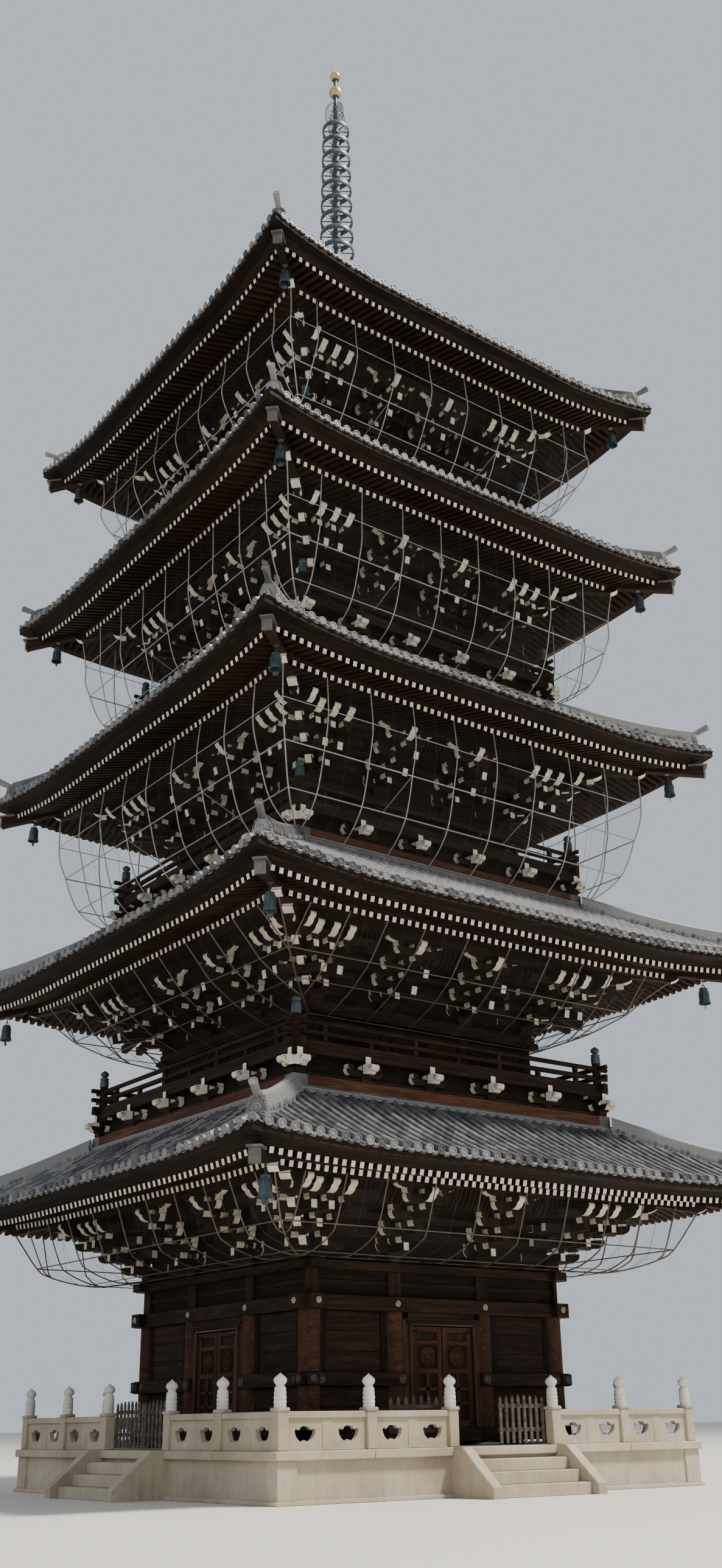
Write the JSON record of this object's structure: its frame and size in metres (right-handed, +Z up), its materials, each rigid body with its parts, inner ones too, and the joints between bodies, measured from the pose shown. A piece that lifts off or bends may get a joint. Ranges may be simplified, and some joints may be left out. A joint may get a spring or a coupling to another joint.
{
  "type": "five-storey timber pagoda, 1:2 scale model",
  "caption": "Square timber pagoda with tiled roofs, bracketed eaves, balconies, netting hoops and bronze spire on a stone platform with stairs, balustrade, gates and doors that swing",
  "frame": {"origin": "centre of the platform at ground level", "axes": "+Z up along the mast; -Y is the front with its stair and gate; -X is the left side"},
  "size_m": [7.11, 7.11, 21.5],
  "materials": {
    "platform": "weathered pale granite",
    "stair_front": "weathered pale granite",
    "stair_right": "weathered pale granite",
    "stair_back": "weathered pale granite",
    "stair_left": "weathered pale granite",
    "balustrade_front_left": "weathered pale granite",
    "balustrade_front_right": "weathered pale granite",
    "balustrade_back_right": "weathered pale granite",
    "balustrade_back_left": "weathered pale granite",
    "walls_1_front_left": "weathered brown timber",
    "walls_1_front_right": "weathered brown timber",
    "walls_1_back_right": "weathered brown timber",
    "walls_1_back_left": "weathered brown timber",
    "walls_1_head": "weathered brown timber",
    "floor_1": "weathered brown timber",
    "gate_front_left": "weathered brown timber",
    "gate_front_right": "weathered brown timber",
    "gate_left_back": "weathered brown timber",
    "gate_left_front": "weathered brown timber",
    "gate_right": "weathered brown timber",
    "gate_back": "weathered brown timber",
    "door_front_left": "dark weathered timber",
    "door_front_right": "dark weathered timber",
    "door_left_back": "dark weathered timber",
    "door_left_front": "dark weathered timber",
    "door_right": "dark weathered timber",
    "door_back": "dark weathered timber",
    "eaves_1": "weathered brown timber",
    "roof_1": "smoked grey clay tile",
    "net_frame_1": "galvanised rod, dull",
    "walls_2": "dark weathered timber",
    "balcony_2": "weathered brown timber",
    "eaves_2": "weathered brown timber",
    "roof_2": "smoked grey clay tile",
    "net_frame_2": "galvanised rod, dull",
    "walls_3": "dark weathered timber",
    "balcony_3": "weathered brown timber",
    "eaves_3": "weathered brown timber",
    "roof_3": "smoked grey clay tile",
    "net_frame_3": "galvanised rod, dull",
    "walls_4": "dark weathered timber",
    "balcony_4": "weathered brown timber",
    "eaves_4": "weathered brown timber",
    "roof_4": "smoked grey clay tile",
    "net_frame_4": "galvanised rod, dull",
    "walls_5": "dark weathered timber",
    "balcony_5": "weathered brown timber",
    "eaves_5": "weathered brown timber",
    "roof_5": "smoked grey clay tile",
    "net_frame_5": "galvanised rod, dull",
    "spire_base": "bronze with blue green patina",
    "spire_rings": "bronze with blue green patina",
    "spire_top": "bronze with blue green patina"
  },
  "bodies": {
    "tower": {"platform": "platform", "stair_front": "stair_front", "stair_right": "stair_right", "stair_back": "stair_back", "stair_left": "stair_left", "balustrade_front_left": "balustrade_front_left", "balustrade_front_right": "balustrade_front_right", "balustrade_back_right": "balustrade_back_right", "balustrade_back_left": "balustrade_back_left", "walls_1_front_left": "walls_1_front_left", "walls_1_front_right": "walls_1_front_right", "walls_1_back_right": "walls_1_back_right", "walls_1_back_left": "walls_1_back_left", "walls_1_head": "walls_1_head", "floor_1": "floor_1", "gate_right": "gate_right", "gate_back": "gate_back", "door_right": "door_right", "door_back": "door_back", "eaves_1": "eaves_1", "roof_1": "roof_1", "net_frame_1": "net_frame_1", "walls_2": "walls_2", "balcony_2": "balcony_2", "eaves_2": "eaves_2", "roof_2": "roof_2", "net_frame_2": "net_frame_2", "walls_3": "walls_3", "balcony_3": "balcony_3", "eaves_3": "eaves_3", "roof_3": "roof_3", "net_frame_3": "net_frame_3", "walls_4": "walls_4", "balcony_4": "balcony_4", "eaves_4": "eaves_4", "roof_4": "roof_4", "net_frame_4": "net_frame_4", "walls_5": "walls_5", "balcony_5": "balcony_5", "eaves_5": "eaves_5", "roof_5": "roof_5", "net_frame_5": "net_frame_5", "spire_base": "spire_base", "spire_rings": "spire_rings", "spire_top": "spire_top"},
    "gate_front_left": {"gate_front_left": "gate_front_left"},
    "gate_front_right": {"gate_front_right": "gate_front_right"},
    "gate_left_back": {"gate_left_back": "gate_left_back"},
    "gate_left_front": {"gate_left_front": "gate_left_front"},
    "door_front_left": {"door_front_left": "door_front_left"},
    "door_front_right": {"door_front_right": "door_front_right"},
    "door_left_back": {"door_left_back": "door_left_back"},
    "door_left_front": {"door_left_front": "door_left_front"}
  },
  "joints": [
    {"name": "gate_front_left_hinge", "type": "hinge", "parent": "tower", "child": "gate_front_left", "pos_m": [-0.616, -2.522, 0.67], "axis": [0, 0, 1], "range_deg": [-165, 0]},
    {"name": "gate_front_right_hinge", "type": "hinge", "parent": "tower", "child": "gate_front_right", "pos_m": [0.616, -2.522, 0.67], "axis": [0, 0, -1], "range_deg": [0, 165]},
    {"name": "gate_left_back_hinge", "type": "hinge", "parent": "tower", "child": "gate_left_back", "pos_m": [-2.522, 0.616, 0.67], "axis": [0, 0, 1], "range_deg": [0, 165]},
    {"name": "gate_left_front_hinge", "type": "hinge", "parent": "tower", "child": "gate_left_front", "pos_m": [-2.522, -0.616, 0.67], "axis": [0, 0, -1], "range_deg": [0, 165]},
    {"name": "door_front_left_hinge", "type": "hinge", "parent": "tower", "child": "door_front_left", "pos_m": [-0.387, -1.695, 1.085], "axis": [0, 0, -1], "range_deg": [0, 90]},
    {"name": "door_front_right_hinge", "type": "hinge", "parent": "tower", "child": "door_front_right", "pos_m": [0.387, -1.695, 1.085], "axis": [0, 0, 1], "range_deg": [0, 90]},
    {"name": "door_left_back_hinge", "type": "hinge", "parent": "tower", "child": "door_left_back", "pos_m": [-1.695, 0.387, 1.085], "axis": [0, 0, -1], "range_deg": [0, 90]},
    {"name": "door_left_front_hinge", "type": "hinge", "parent": "tower", "child": "door_left_front", "pos_m": [-1.695, -0.387, 1.085], "axis": [0, 0, 1], "range_deg": [0, 90]}
  ]
}
